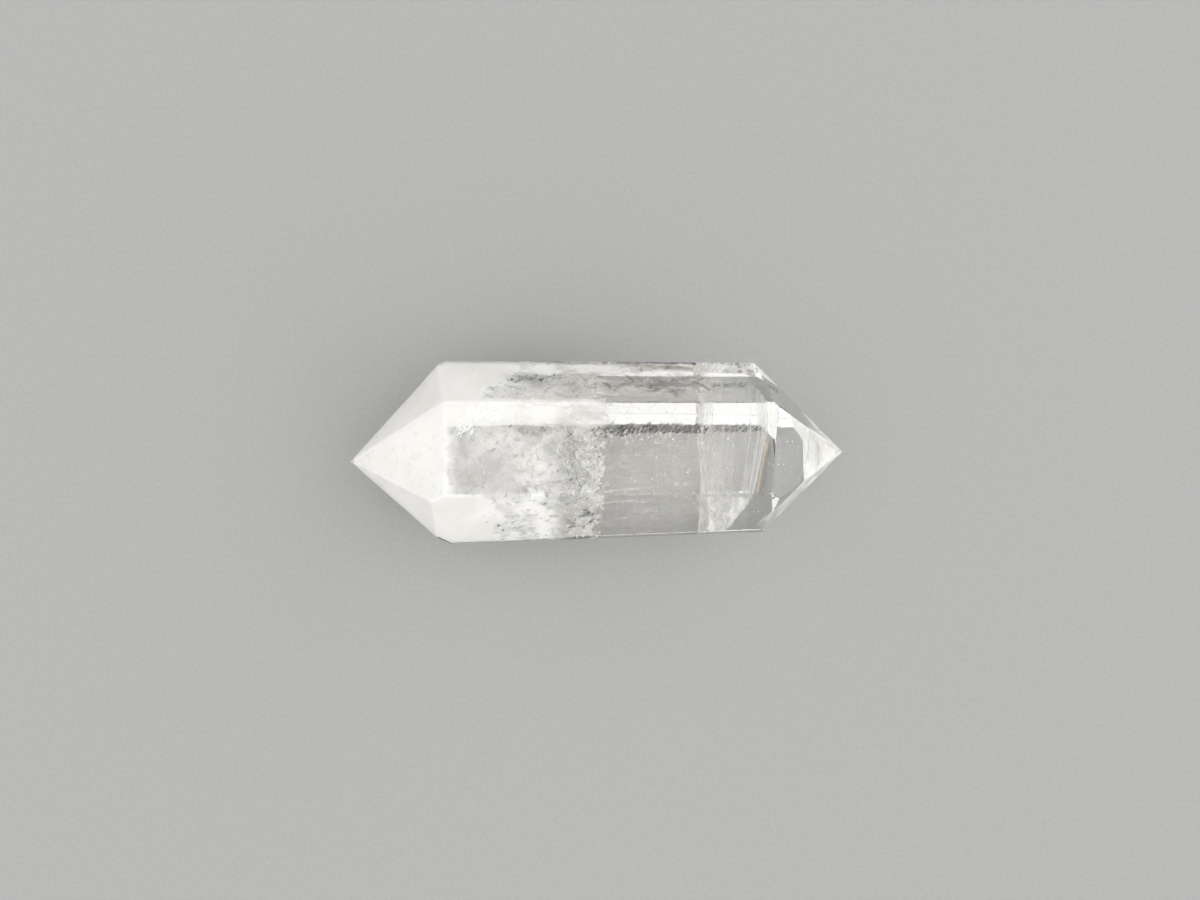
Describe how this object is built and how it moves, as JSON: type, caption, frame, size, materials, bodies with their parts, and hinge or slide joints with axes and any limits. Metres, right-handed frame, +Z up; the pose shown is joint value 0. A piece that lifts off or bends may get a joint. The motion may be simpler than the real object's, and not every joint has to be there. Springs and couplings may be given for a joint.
{
  "type": "double terminated quartz crystal",
  "caption": "Clear and milky quartz crystal, cut and polished to a six-sided prism with a six-sided pyramid at each end, lying on a prism face.",
  "frame": {"origin": "middle of the footprint, on the surface that the crystal rests on", "axes": "+X along the crystal from its milky end to its clear end, +Y to its back, +Z up"},
  "size_m": [0.0698, 0.0262, 0.0206],
  "materials": {
    "quartz": "polished flat faces, clear at one end and milky at the other, with white veils and fractures inside"
  },
  "bodies": {
    "root": {"quartz_crystal": "quartz"}
  },
  "joints": []
}
